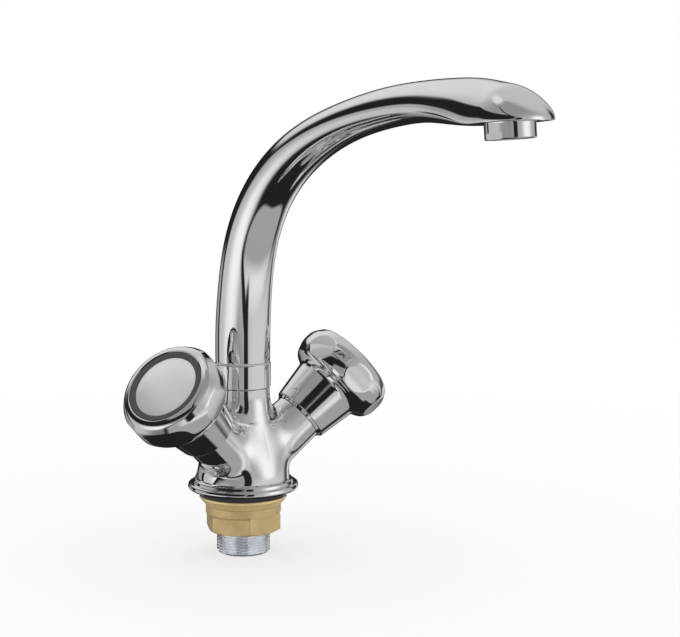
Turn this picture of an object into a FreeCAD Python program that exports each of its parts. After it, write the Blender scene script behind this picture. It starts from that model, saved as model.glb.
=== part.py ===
"""Two handle kitchen faucet: one deck hole, swinging spout, two raised knobs. Millimetres, +Z up.

Origin: centre of the foot flange underside, where the faucet sits on the sink. The spout points to -Y,
the hot knob is on the -X side and the cold knob on the +X side.
"""
import FreeCAD, Part
import math
import os

os.makedirs("parts", exist_ok=True)

V = FreeCAD.Vector
CENTRE = V(0, 0, 0)
UP = V(0, 0, 1)

# ---------------------------------------------------------------- clearances
RUN_GAP = 0.08          # radial gap of a turning fit
FREE_GAP = 0.4          # between pieces that move past each other
SLIP_GAP = 0.05         # radial gap of a fixed slip fit
FILM = 0.02             # water film between the ceramic discs

# ---------------------------------------------------------------- foot, body and arms
FLANGE_R = 29.1
FLANGE_H = 3.3
STEP_R = 26.4
STEP_H = 2.0
FOOT_R = 24.1
NECK_R = 14.1
COLLAR_BASE_Z = 54.0
ARM_R = 13.8
ARM_LIFT = 40.0         # degrees of the arm axis above the deck
ARM_SWEEP = 15.0        # degrees of the arm axis forward of the side
ARM_ROOT_Z = 8.5        # height where the arm axis meets the body axis
ARM_END = 47.0          # arm end face, measured along the arm axis
ARM_BLEND = 5.3

# ---------------------------------------------------------------- shank, gasket, washer and nut
SHANK_R = 14.0          # M28 x 1.5
SHANK_BORE_R = 11.6
SHANK_LEN = 34.0
SHANK_GRIP = 7.0        # length screwed into the foot
PITCH = 1.5
THREAD_DEPTH = 0.65
GASKET_R = 23.4
GASKET_H = 3.3
GASKET_SEAT = 1.0       # depth of the gasket's recess in the foot
WASHER_TOP_R = 23.0
WASHER_END_R = 19.9
WASHER_H = 5.0
NUT_COLLAR_R = 19.8
NUT_COLLAR_H = 4.2
NUT_AF = 36.0
NUT_HEX_H = 9.8
NUT_TURN = 0.8          # degrees the hexagon stands turned
INLET_R = 4.5           # M10 x 1 hose inlet, tapping size
INLET_OFFSET = 5.8      # of each inlet from the axis
DRILL_SLOPE = math.radians(31)     # of the drill point at the end of each inlet

# ---------------------------------------------------------------- spout seat
COLLAR_R = 14.6
COLLAR_H = 12.9
COLLAR_LIP = 3.3
NECK_THREAD_R = 13.2
TAIL_R = 9.92
TAIL_BORE_R = 6.5
TAIL_BOTTOM_Z = 39.0
TAIL_GRIP_R = 10.8
TAIL_GRIP = 11.0
SNAP_H = 2.0
GLIDE_H = 0.4
O_RING_CORD = 1.8

# ---------------------------------------------------------------- spout
SPOUT_R = 14.3
SPOUT_REACH = 186.4     # axis of the nozzle from the body axis
SPOUT_RISE = 128.6      # rim level of the head above the spout foot
HEAD_TILT = 5.5         # degrees the head rises forward
HEAD_HALF_W = 19.9
HEAD_CROWN = 16.85
HEAD_BELLY = 1.0
WATERWAY_R = 6.0
NOZZLE_R = 11.6
NOZZLE_DROP = 6.9       # below the head underside
NOZZLE_GRIP_R = 10.0
NOZZLE_GRIP = 6.0
NOZZLE_FLAT = 0.8
NOZZLE_FLAT_H = 2.9
INSERT_R = 8.6
INSERT_H = 8.0
JET_R = 0.75
JET_STEP = 2.05         # between the rings of jets

# ---------------------------------------------------------------- headwork, along the arm axis
SEAT_W = 19.0           # floor of the headwork chamber
CHAMBER_R = 9.3
CAGE_BORE_R = 8.55
SEAL_H = 1.8
DISC_R = 8.1
FIXED_H = 2.8
MOVING_H = 2.6
HEAD_BAR_H = 3.2
SPINDLE_R = 4.0
BONNET_TOP = 54.0
BONNET_AF = 21.0
BONNET_HEX_H = 4.2
FIBRE_H = 0.8
CIRCLIP_H = 0.8
SPINDLE_END = 65.0

# ---------------------------------------------------------------- knob, along the arm axis
KNOB_RIM = 41.7
KNOB_RIM_R = 15.7
KNOB_NECK = 64.4
KNOB_NECK_R = 19.2
KNOB_WIDE = 75.6
KNOB_WIDE_R = 27.0
KNOB_FACE = 85.6
KNOB_WALL = 1.3
FLAT_COUNT = 6
FLAT_DIST = 24.4        # of each grip flat from the knob axis
FLAT_AT = 73.8          # middle of the flats along the axis
FLAT_TILT = 8.0
RING_R = 20.0
RING_BORE_R = 16.9
RING_H = 2.6
RING_SUNK = 0.35
CAP_DOME = 2.3
SCREW_R = 2.0
SCREW_HEAD_R = 3.6
SCREW_HEAD_H = 2.6
CLOSED_TURN = 90.0      # degrees between the ports of the two discs when the tap is shut
HOT_PHASE = 28.5        # degrees of the first grip flat about the knob axis
COLD_PHASE = 24.0

# ---------------------------------------------------------------- heights that follow
COLLAR_TOP_Z = COLLAR_BASE_Z + COLLAR_H
LIP_Z = COLLAR_TOP_Z - COLLAR_LIP
SPOUT_Z = COLLAR_TOP_Z + GLIDE_H
HEAD_Z = SPOUT_Z + SPOUT_RISE
TAIL_BORE_BODY_R = TAIL_R + RUN_GAP
MIX_R = 7.0
SNAP_Z = LIP_Z - 0.3 - SNAP_H
FIXED_Z = SEAT_W + SEAL_H
MOVING_Z = FIXED_Z + FIXED_H + FILM
BAR_Z = MOVING_Z + MOVING_H
CAGE_TOP = BAR_Z + HEAD_BAR_H + FREE_GAP
HEX_Z = ARM_END + FIBRE_H
RING_TOP = KNOB_FACE - RING_SUNK
RECESS_Z = RING_TOP - RING_H
FOOT_TOP = FLANGE_H + STEP_H
NECK_Z = COLLAR_BASE_Z - 3.0
GROOVE_R = TAIL_R - O_RING_CORD + 0.35
O_RINGS_Z = {"lower": TAIL_BOTTOM_Z + 4.0, "upper": TAIL_BOTTOM_Z + 12.0}
NOZZLE_TOP = -HEAD_BELLY
NOZZLE_LOW = NOZZLE_TOP - NOZZLE_DROP
SPINDLE_RING_Z = (CAGE_TOP + ARM_END) / 2
SIDES = {"hot": -1, "cold": 1}


# ---------------------------------------------------------------- helpers
def corner(before, at, after, radius):
    """Tangent points and mid point of the arc that rounds one corner of an outline."""
    back = (before - at).normalize()
    ahead = (after - at).normalize()
    half = back.getAngle(ahead) / 2
    cut = radius / math.tan(half)
    middle = (back + ahead).normalize()
    hub = at + middle * (radius / math.sin(half))
    return at + back * cut, hub - middle * radius, at + ahead * cut


def outline(points):
    """Closed wire in the XZ plane from (r, z) or (r, z, rounding) points."""
    spots = [V(p[0], 0, p[1]) for p in points]
    rounds = [p[2] if len(p) > 2 else 0 for p in points]
    edges = []
    ends = []
    for i, spot in enumerate(spots):
        if rounds[i]:
            start, mid, stop = corner(spots[i - 1], spot, spots[(i + 1) % len(spots)], rounds[i])
            edges.append(Part.Arc(start, mid, stop).toShape())
            ends.append((start, stop))
        else:
            edges.append(None)
            ends.append((spot, spot))
    loop = []
    for i in range(len(spots)):
        if edges[i]:
            loop.append(edges[i])
        here = ends[i][1]
        there = ends[(i + 1) % len(spots)][0]
        if here.distanceToPoint(there) > 1e-6:
            loop.append(Part.makeLine(here, there))
    return Part.Wire(Part.__sortEdges__(loop))


def turned(points):
    """Solid of revolution about Z from an (r, z) outline."""
    return Part.Face(outline(points)).revolve(CENTRE, UP, 360)


def ring(outer, inner, low, high, edge=0):
    """Plain ring, its outer edges rounded when an edge radius is given."""
    return turned([(inner, low), (outer, low, edge), (outer, high, edge), (inner, high)])


def rod(radius, low, high):
    return Part.makeCylinder(radius, high - low, V(0, 0, low))


def bar(start, stop, radius):
    """Round bar between two points, used for drilled passages."""
    return Part.makeCylinder(radius, start.distanceToPoint(stop), start, stop - start)


def hexagon(across, low, high):
    """Hexagonal prism with a corner on the X axis."""
    reach = across / 2 / math.cos(math.radians(30))
    spots = [V(reach * math.cos(math.radians(60 * k)), reach * math.sin(math.radians(60 * k)), low)
             for k in range(7)]
    return Part.Face(Part.makePolygon(spots)).extrude(V(0, 0, high - low))


def chamfered_hexagon(across, low, high, slope, top=True, bottom=True):
    """Hexagon whose corners are turned off at the ends."""
    reach = across / 2 / math.cos(math.radians(30))
    flat = across / 2 - 0.3
    fall = (reach - flat) * slope
    shape = [(0, low)]
    shape += [(flat, low), (reach + 0.1, low + fall)] if bottom else [(reach + 0.1, low)]
    shape += [(reach + 0.1, high - fall), (flat, high)] if top else [(reach + 0.1, high)]
    shape += [(0, high)]
    return hexagon(across, low, high).common(turned(shape))


def thread_grooves(radius, depth, low, high):
    """Row of V grooves standing for a screw thread."""
    count = int((high - low) / PITCH)
    half = PITCH * 0.42
    cuts = []
    for k in range(count):
        z = low + PITCH * (k + 0.5)
        cuts.append(turned([(radius + 0.3, z - half * (1 + 0.3 / depth)),
                            (radius - depth, z - 0.08), (radius - depth, z + 0.08),
                            (radius + 0.3, z + half * (1 + 0.3 / depth))]))
    return Part.makeCompound(cuts)


def on_arm(shape, side):
    """Moves a piece drawn about Z onto the arm axis of one side."""
    lean = FreeCAD.Rotation(V(0, 1, 0), 90 - ARM_LIFT)
    turn = FreeCAD.Rotation(UP, -ARM_SWEEP if side > 0 else 180 + ARM_SWEEP)
    placed = shape.copy()
    placed.Placement = FreeCAD.Placement(V(0, 0, ARM_ROOT_Z), turn * lean).multiply(placed.Placement)
    return placed


def arm_point(distance, side):
    """Point on the arm axis."""
    lift = math.radians(ARM_LIFT)
    sweep = math.radians(ARM_SWEEP)
    flat = distance * math.cos(lift)
    return V(side * flat * math.cos(sweep), -flat * math.sin(sweep), ARM_ROOT_Z + distance * math.sin(lift))


def at_nozzle(shape):
    """Moves a piece drawn about Z onto the nozzle axis, z = 0 on the rim level of the head."""
    placed = shape.copy()
    tilt = FreeCAD.Rotation(V(1, 0, 0), -HEAD_TILT)
    placed.Placement = FreeCAD.Placement(V(0, -SPOUT_REACH, HEAD_Z), tilt).multiply(placed.Placement)
    return placed


def save(shape, name):
    solid = shape.removeSplitter()
    if solid.ShapeType != "Solid" and len(solid.Solids) == 1:
        solid = solid.Solids[0]
    solid.exportStep("parts/" + name + ".step")
    print(name, solid.isValid(), len(solid.Solids), round(solid.Volume, 1))
    return solid


# ---------------------------------------------------------------- body
def flare():
    """Round body above the foot: one smooth hollow curve from the foot up to the collar."""
    low = FOOT_TOP + 0.6
    spots = [V(FOOT_R, 0, low), V(FOOT_R - 0.9, 0, 13.0), V(20.2, 0, 23.0), V(17.2, 0, 33.0),
             V(NECK_R + 0.9, 0, 43.0), V(NECK_R, 0, NECK_Z)]
    side = Part.BSplineCurve()
    side.interpolate(Points=spots, InitialTangent=V(0, 0, 1), FinalTangent=V(0, 0, 1))
    wire = Part.Wire([side.toShape(), Part.makeLine(spots[-1], V(0, 0, NECK_Z)),
                      Part.makeLine(V(0, 0, NECK_Z), V(0, 0, low)),
                      Part.makeLine(V(0, 0, low), spots[0])])
    return Part.Face(wire).revolve(CENTRE, UP, 360)


def is_arm_root(edge):
    """True for the curves where an arm meets the flare."""
    box = edge.BoundBox
    inside = box.ZMin > FOOT_TOP + 2 and box.ZMax < COLLAR_BASE_Z - 5
    return inside and edge.Curve.TypeId == "Part::GeomBSplineCurve"


def body_casting():
    core = flare()
    for side in SIDES.values():
        arm = turned([(0, 4), (ARM_R, 4), (ARM_R, ARM_END - 0.5),
                      (ARM_R - 0.5, ARM_END), (0, ARM_END)])
        core = core.fuse(on_arm(arm, side))
    core = core.cut(rod(ARM_END * 2, FOOT_TOP + 0.6 - ARM_END, FOOT_TOP + 0.6))
    core = core.makeFillet(ARM_BLEND, [edge for edge in core.Edges if is_arm_root(edge)])
    core = core.fuse(turned([(0, 0), (FLANGE_R - 1.2, 0), (FLANGE_R, 1.2, 1.0),
                             (FLANGE_R - 0.5, FLANGE_H, 0.9), (STEP_R, FLANGE_H, 0.25),
                             (STEP_R - 0.4, FOOT_TOP, 0.8), (FOOT_R + 0.4, FOOT_TOP, 0.3),
                             (FOOT_R, FOOT_TOP + 0.6), (0, FOOT_TOP + 0.6)]))
    core = core.fuse(turned([(0, NECK_Z), (NECK_R, NECK_Z), (NECK_R, COLLAR_BASE_Z - 0.4),
                             (NECK_R - 0.4, COLLAR_BASE_Z), (NECK_THREAD_R, COLLAR_BASE_Z),
                             (NECK_THREAD_R, LIP_Z), (0, LIP_Z)]))
    core = core.cut(rod(GASKET_R + 1.1, -1, GASKET_SEAT))
    core = core.cut(rod(SHANK_R + SLIP_GAP, -1, SHANK_GRIP))
    core = core.cut(rod(MIX_R, 30, LIP_Z + 1))
    core = core.cut(rod(TAIL_BORE_BODY_R, TAIL_BOTTOM_Z - 1, LIP_Z + 1))
    core = core.cut(rod(11.8, SNAP_Z - 0.3, LIP_Z + 1))
    for side in SIDES.values():
        core = core.cut(on_arm(rod(CHAMBER_R, SEAT_W, ARM_END + 1), side))
        core = core.cut(on_arm(rod(CHAMBER_R + 1.2, BAR_Z - 0.4, CAGE_TOP + 0.2), side))
        core = core.cut(on_arm(rod(6.0, SEAT_W - 1.5, SEAT_W + 1), side))
        inlet = V(side * INLET_OFFSET, 0, SHANK_GRIP + 9)
        core = core.cut(bar(V(side * INLET_OFFSET, 0, 0), inlet, INLET_R))
        core = core.cut(Part.makeCone(INLET_R, 0, INLET_R * math.tan(DRILL_SLOPE), inlet))
        core = core.cut(bar(inlet + V(0, 0, -2.5), arm_point(SEAT_W + 0.2, side), 3.2))
        core = core.cut(bar(V(0, 0, 40), arm_point(CAGE_TOP + 1.0, side), 2.8))
    return core


def threaded_shank():
    tube = turned([(SHANK_BORE_R + 0.6, -SHANK_LEN), (SHANK_R - 1.0, -SHANK_LEN),
                   (SHANK_R, -SHANK_LEN + 1.0), (SHANK_R, SHANK_GRIP - 0.5),
                   (SHANK_R - 0.5, SHANK_GRIP), (SHANK_BORE_R, SHANK_GRIP),
                   (SHANK_BORE_R, -SHANK_LEN + 0.6)])
    return tube.cut(thread_grooves(SHANK_R, THREAD_DEPTH, -SHANK_LEN + 1.2, -1.0))


def base_gasket():
    return turned([(SHANK_R + 0.3, -GASKET_H), (GASKET_R - 0.6, -GASKET_H, 0.4),
                   (GASKET_R, -GASKET_H / 2, 0.8), (GASKET_R + 0.8, 0),
                   (GASKET_R + 0.8, GASKET_SEAT), (SHANK_R + 0.3, GASKET_SEAT)])


def clamp_washer():
    top = -GASKET_H
    low = top - WASHER_H
    return turned([(SHANK_R + FREE_GAP, low), (WASHER_END_R, low, 0.4), (WASHER_TOP_R, top - 1.2, 0.5),
                   (WASHER_TOP_R, top, 0.3), (SHANK_R + FREE_GAP, top)])


def lock_nut():
    top = -GASKET_H - WASHER_H - FILM
    low = top - NUT_COLLAR_H - NUT_HEX_H
    collar = ring(NUT_COLLAR_R, SHANK_R + RUN_GAP, top - NUT_COLLAR_H, top, 0.4)
    hexed = chamfered_hexagon(NUT_AF, low, top - NUT_COLLAR_H + 0.1, 0.55, top=False)
    nut = collar.fuse(hexed.cut(rod(SHANK_R + RUN_GAP, low - 1, top)))
    lead = turned([(0, low - 0.1), (SHANK_R + 1.0, low - 0.1), (SHANK_R, low + 0.9), (0, low + 0.9)])
    nut = nut.cut(lead)
    nut.rotate(CENTRE, UP, NUT_TURN)
    return nut


# ---------------------------------------------------------------- spout and its seat
def spout_collar():
    lift = COLLAR_BASE_Z + 0.1
    return turned([(NECK_THREAD_R + SLIP_GAP, lift), (COLLAR_R - 0.3, lift), (COLLAR_R, lift + 0.3),
                   (COLLAR_R, COLLAR_TOP_Z - 0.6), (COLLAR_R - 0.6, COLLAR_TOP_Z),
                   (TAIL_R + FREE_GAP, COLLAR_TOP_Z), (TAIL_R + FREE_GAP, LIP_Z),
                   (NECK_THREAD_R + SLIP_GAP, LIP_Z)])


def spout_tail():
    joint = SPOUT_Z - 0.1
    tail = turned([(TAIL_BORE_R, TAIL_BOTTOM_Z), (TAIL_R - 0.8, TAIL_BOTTOM_Z), (TAIL_R, TAIL_BOTTOM_Z + 1.2),
                   (TAIL_R, joint), (TAIL_GRIP_R - 0.3, joint), (TAIL_GRIP_R - 0.3, joint + 0.1),
                   (TAIL_GRIP_R, joint + 0.4), (TAIL_GRIP_R, SPOUT_Z + TAIL_GRIP - 0.5),
                   (TAIL_GRIP_R - 0.5, SPOUT_Z + TAIL_GRIP), (TAIL_BORE_R, SPOUT_Z + TAIL_GRIP)])
    for z in O_RINGS_Z.values():
        tail = tail.cut(ring(TAIL_R + 1, GROOVE_R, z - 1.15, z + 1.15))
    return tail.cut(ring(TAIL_R + 1, 8.6, SNAP_Z - 0.05, SNAP_Z + SNAP_H + 0.05))


def tail_o_ring(z):
    return turned([(GROOVE_R, z - 0.95, 0.6), (TAIL_R - 0.02, z - 0.95, 0.6),
                   (TAIL_R - 0.02, z + 0.95, 0.6), (GROOVE_R, z + 0.95, 0.6)])


def snap_ring():
    full = ring(11.4, 8.6, SNAP_Z, SNAP_Z + SNAP_H, 0.3)
    return full.cut(Part.makeBox(8, 3.0, SNAP_H + 2, V(6, -1.5, SNAP_Z - 1)))


def glide_washer():
    return ring(SPOUT_R - 0.5, TAIL_GRIP_R + 0.3, COLLAR_TOP_Z, SPOUT_Z)


# reach share, rise share, lean from vertical, half width, crown, belly, crown and belly squareness
STATIONS = [(0.0, 0.0, 0, SPOUT_R - 0.1, SPOUT_R - 0.1, SPOUT_R - 0.1, 2.0, 2.0),
            (0.0, 0.012, 0, SPOUT_R, SPOUT_R, SPOUT_R, 2.0, 2.0),
            (0.001, 0.13, 1, SPOUT_R, SPOUT_R, SPOUT_R, 2.0, 2.0),
            (0.009, 0.28, 5, 14.1, 13.9, 14.0, 2.0, 2.0), (0.0285, 0.44, 15, 13.9, 13.5, 13.6, 2.0, 2.0),
            (0.070, 0.592, 28, 13.7, 13.0, 13.0, 2.0, 2.0), (0.135, 0.724, 42, 13.3, 12.4, 12.4, 2.0, 2.0),
            (0.226, 0.838, 57, 12.9, 11.6, 11.6, 2.0, 2.0), (0.338, 0.928, 67, 12.5, 10.5, 10.5, 2.0, 2.0),
            (0.466, 0.994, 75, 12.3, 9.7, 9.7, 2.0, 2.0), (0.600, 1.039, 80, 12.5, 9.6, 9.6, 2.0, 2.0),
            (0.720, 1.058, 85.5, 13.6, 10.0, 9.4, 2.0, 2.1), (0.810, 1.046, 90, 15.6, 12.75, 8.1, 2.0, 2.3),
            (0.890, 1.020, 89, 18.0, 16.35, 5.1, 2.0, 2.7), (0.950, 1.002, 86, 19.5, 17.9, 2.3, 2.0, 3.2)]
HEAD_POWER = 1.85       # squareness of the crown over the nozzle, 2 is an ellipse


def half_curve(centre, lean, half_w, height, power, sign):
    """Upper (sign 1) or lower (sign -1) half of a spout section."""
    a = math.radians(lean)
    out = V(0, math.cos(a), math.sin(a)) * sign
    spots = []
    for k in range(25):
        t = math.pi * k / 24
        x = math.copysign(abs(math.cos(t)) ** (2 / power), math.cos(t)) * half_w
        y = math.sin(t) ** (2 / power) * height
        spots.append(centre + V(sign * x, 0, 0) + out * y)
    curve = Part.BSplineCurve()
    curve.interpolate(Points=spots)
    return curve.toShape()


def section(centre, lean, half_w, crown, belly, crown_power, belly_power):
    return Part.Wire([half_curve(centre, lean, half_w, crown, crown_power, 1),
                      half_curve(centre, lean, half_w, belly, belly_power, -1)])


def spout_casting():
    wires = []
    for reach, rise, *rest in STATIONS:
        wires.append(section(V(0, -SPOUT_REACH * reach, SPOUT_Z + SPOUT_RISE * rise), *rest))
    last = section(V(0, -SPOUT_REACH, HEAD_Z), 90 - HEAD_TILT, HEAD_HALF_W, HEAD_CROWN, HEAD_BELLY,
                   HEAD_POWER, 3.6)
    wires.append(last)
    shell = Part.makeLoft(wires, True, False)
    room = HEAD_HALF_W * 2
    half = Part.Face(last).common(Part.makeBox(room, room * 2, room * 2,
                                               V(0, -SPOUT_REACH - room, HEAD_Z - room)))
    lean_back = V(0, math.sin(math.radians(HEAD_TILT)), math.cos(math.radians(HEAD_TILT)))
    nose = half.Faces[0].revolve(V(0, -SPOUT_REACH, HEAD_Z), lean_back, -180)
    return shell.fuse(nose)


def waterway():
    """Inner passage of the spout, swept along its centre line."""
    spots = [V(0, -SPOUT_REACH * s[0], SPOUT_Z + SPOUT_RISE * s[1] + (1.5 if s[0] > 0.75 else 0))
             for s in STATIONS[2:-1]]
    spots.insert(0, V(0, 0, SPOUT_Z + TAIL_GRIP - 1))
    spots.append(V(0, -SPOUT_REACH, HEAD_Z + 5.0))
    path = Part.BSplineCurve()
    path.interpolate(Points=spots)
    spine = Part.Wire([path.toShape()])
    profile = Part.Wire([Part.makeCircle(WATERWAY_R, spots[0], UP)])
    return spine.makePipeShell([profile], True, False)


def nozzle_bore():
    """Socket of the nozzle with its flat seat in the underside of the head."""
    socket = rod(NOZZLE_GRIP_R + SLIP_GAP, NOZZLE_TOP - 2, NOZZLE_GRIP + 1)
    return at_nozzle(socket.fuse(rod(NOZZLE_R + 0.15, NOZZLE_LOW, NOZZLE_TOP)))


# ---------------------------------------------------------------- nozzle
def aerator_housing():
    cup = turned([(INSERT_R - 1.2, NOZZLE_LOW), (NOZZLE_R - 0.5, NOZZLE_LOW),
                  (NOZZLE_R, NOZZLE_LOW + 0.5), (NOZZLE_R, NOZZLE_TOP), (NOZZLE_GRIP_R, NOZZLE_TOP),
                  (NOZZLE_GRIP_R, NOZZLE_GRIP - 0.5), (NOZZLE_GRIP_R - 0.5, NOZZLE_GRIP),
                  (INSERT_R, NOZZLE_GRIP), (INSERT_R, NOZZLE_LOW + 1.0),
                  (INSERT_R - 1.2, NOZZLE_LOW + 1.0)])
    for side in SIDES.values():
        near = NOZZLE_R - NOZZLE_FLAT if side > 0 else -NOZZLE_R - 5
        slab = Part.makeBox(5 + NOZZLE_FLAT, NOZZLE_R * 3, NOZZLE_FLAT_H + 1,
                            V(near, -NOZZLE_R * 1.5, NOZZLE_LOW - 1))
        cup = cup.cut(slab)
    return cup


def aerator_insert():
    low = NOZZLE_LOW + 1.0
    core = turned([(0, low), (INSERT_R - SLIP_GAP, low), (INSERT_R - SLIP_GAP, low + INSERT_H),
                   (INSERT_R - 1.4, low + INSERT_H), (INSERT_R - 1.4, low + 2.4), (0, low + 2.4)])
    jets = [rod(JET_R, low - 1, low + 3)]
    for lap in (1, 2, 3):
        for k in range(6 * lap):
            turn = math.radians(60.0 / lap * k)
            hole = rod(JET_R, low - 1, low + 3)
            hole.translate(V(JET_STEP * lap * math.cos(turn), JET_STEP * lap * math.sin(turn), 0))
            jets.append(hole)
    return core.cut(Part.makeCompound(jets))


def aerator_washer():
    low = NOZZLE_LOW + 1.0 + INSERT_H
    return ring(INSERT_R - SLIP_GAP, INSERT_R - 2.4, low, low + 2.0, 0.3)


# ---------------------------------------------------------------- headwork
def half_moon(radius, inner, span, low, high):
    """Sector shaped water port on both sides of a ceramic disc."""
    wedge = Part.makeCylinder(radius, high - low, V(0, 0, low), UP, span)
    wedge.rotate(CENTRE, UP, -span / 2)
    wedge = wedge.cut(rod(inner, low - 1, high + 1))
    other = wedge.copy()
    other.rotate(CENTRE, UP, 180)
    return Part.makeCompound([wedge, other])


def fixed_disc():
    high = FIXED_Z + FIXED_H
    return rod(DISC_R, FIXED_Z, high).cut(half_moon(DISC_R - 1.9, 2.2, 76, FIXED_Z - 1, high + 1))


def moving_disc():
    high = MOVING_Z + MOVING_H
    disc = rod(DISC_R, MOVING_Z, high).cut(half_moon(DISC_R + 1, 3.4, 76, MOVING_Z - 1, high + 1))
    disc = disc.cut(Part.makeBox(3.1, 6.1, 2, V(-1.55, -3.05, high - 1.3)))
    disc.rotate(CENTRE, UP, CLOSED_TURN)
    return disc


def seat_seal():
    return ring(DISC_R, 6.2, SEAT_W, FIXED_Z, 0.3)


def spindle():
    shaft = turned([(0, BAR_Z), (SPINDLE_R, BAR_Z), (SPINDLE_R, BONNET_TOP + 1.6),
                    (SPINDLE_R - 0.2, BONNET_TOP + 1.8), (SPINDLE_R - 0.2, SPINDLE_END - 0.6),
                    (SPINDLE_R - 0.8, SPINDLE_END), (0, SPINDLE_END)])
    shaft = shaft.fuse(Part.makeBox(5.0, 15.0, HEAD_BAR_H, V(-2.5, -7.5, BAR_Z)))
    shaft = shaft.fuse(Part.makeBox(3.0, 6.0, 1.3, V(-1.5, -3.0, BAR_Z - 1.2)))
    shaft = shaft.cut(ring(SPINDLE_R + 1, SPINDLE_R - 1.2, SPINDLE_RING_Z - 0.95, SPINDLE_RING_Z + 0.95))
    shaft = shaft.cut(ring(SPINDLE_R + 1, SPINDLE_R - 0.8, BONNET_TOP + 0.2, BONNET_TOP + 0.3 + CIRCLIP_H))
    splines = []
    for k in range(20):
        spline = Part.makeBox(0.5, 0.8, 12, V(SPINDLE_R - 0.5, -0.4, SPINDLE_END - 8))
        spline.rotate(CENTRE, UP, 18 * k)
        splines.append(spline)
    shaft = shaft.cut(Part.makeCompound(splines))
    shaft = shaft.cut(rod(SCREW_R + SLIP_GAP, SPINDLE_END - 11, SPINDLE_END + 1))
    shaft.rotate(CENTRE, UP, CLOSED_TURN)
    return shaft


def spindle_o_ring():
    low = SPINDLE_RING_Z - 0.8
    high = SPINDLE_RING_Z + 0.8
    return turned([(SPINDLE_R - 1.2, low, 0.5), (SPINDLE_R - 0.02, low, 0.5),
                   (SPINDLE_R - 0.02, high, 0.5), (SPINDLE_R - 1.2, high, 0.5)])


def circlip():
    low = BONNET_TOP + 0.25
    full = ring(SPINDLE_R + 2.0, SPINDLE_R - 0.8, low, low + CIRCLIP_H, 0.15)
    return full.cut(Part.makeBox(8, 3.6, 3, V(1, -1.8, low - 1)))


def bonnet():
    body = turned([(0, SEAT_W + 0.4), (CHAMBER_R - SLIP_GAP, SEAT_W + 0.4),
                   (CHAMBER_R - SLIP_GAP, HEX_Z), (8.0, HEX_Z), (8.0, BONNET_TOP - 0.5),
                   (7.5, BONNET_TOP), (0, BONNET_TOP)])
    body = body.fuse(chamfered_hexagon(BONNET_AF, HEX_Z, HEX_Z + BONNET_HEX_H, 0.5, bottom=False))
    body = body.cut(rod(CAGE_BORE_R, 0, CAGE_TOP))
    body = body.cut(rod(SPINDLE_R + 0.06, 0, BONNET_TOP + 1))
    for k in range(4):
        window = Part.makeBox(6, 7, CAGE_TOP - BAR_Z - 0.4, V(CAGE_BORE_R - 2, -3.5, BAR_Z + 0.2))
        window.rotate(CENTRE, UP, 45 + 90 * k)
        body = body.cut(window)
    return body


def fibre_washer():
    return ring(12.2, CHAMBER_R + 0.05, ARM_END, HEX_Z)


# ---------------------------------------------------------------- knob
def knob(phase):
    inner_rim = KNOB_RIM_R - KNOB_WALL
    outer = turned([(0, KNOB_RIM), (KNOB_RIM_R, KNOB_RIM, 0.5), (KNOB_NECK_R, KNOB_NECK, 2.2),
                    (24.4, 66.4, 5.5), (KNOB_WIDE_R + 0.25, KNOB_WIDE - 3.4, 6.0),
                    (KNOB_WIDE_R - 0.2, KNOB_WIDE + 3.8, 5.0), (RING_R + 3.2, KNOB_FACE - 0.9, 2.6),
                    (RING_R + 0.5, KNOB_FACE, 0.4), (0, KNOB_FACE)])
    for k in range(FLAT_COUNT):
        slab = Part.makeBox(KNOB_WIDE_R, KNOB_WIDE_R * 2, KNOB_WIDE_R * 2, V(0, -KNOB_WIDE_R, -KNOB_WIDE_R))
        slab.rotate(CENTRE, V(0, 1, 0), FLAT_TILT)
        slab.translate(V(FLAT_DIST, 0, FLAT_AT))
        slab.rotate(CENTRE, UP, phase + 360.0 / FLAT_COUNT * k)
        outer = outer.cut(slab)
    hub_low = BONNET_TOP + 3.0
    web = SPINDLE_END + 0.4
    outer = outer.cut(turned([(0, KNOB_RIM - 1), (inner_rim, KNOB_RIM - 1), (inner_rim, KNOB_RIM + 6),
                              (KNOB_NECK_R - 3.0, hub_low, 1.0), (7.0, hub_low),
                              (7.0, hub_low - 0.6), (0, hub_low - 0.6)]))
    outer = outer.cut(rod(SPINDLE_R - 0.2 + SLIP_GAP, hub_low - 2, web))
    outer = outer.cut(rod(SCREW_R + 0.2, web - 1, web + 3))
    outer = outer.cut(turned([(0, web + 2), (8.0, web + 2, 0.5), (8.0, RECESS_Z + 0.1), (0, RECESS_Z + 0.1)]))
    outer = outer.cut(turned([(21.0, KNOB_NECK + 5), (22.8, KNOB_NECK + 6.5), (22.8, RECESS_Z - 3.0),
                              (11.0, RECESS_Z - 3.0), (11.0, KNOB_NECK + 5)]))
    return outer.cut(rod(RING_R + SLIP_GAP, RECESS_Z, KNOB_FACE + 1))


def index_ring():
    return turned([(RING_BORE_R, RECESS_Z), (RING_R, RECESS_Z), (RING_R, RING_TOP, 0.3),
                   (RING_BORE_R, RING_TOP, 0.2)])


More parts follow.
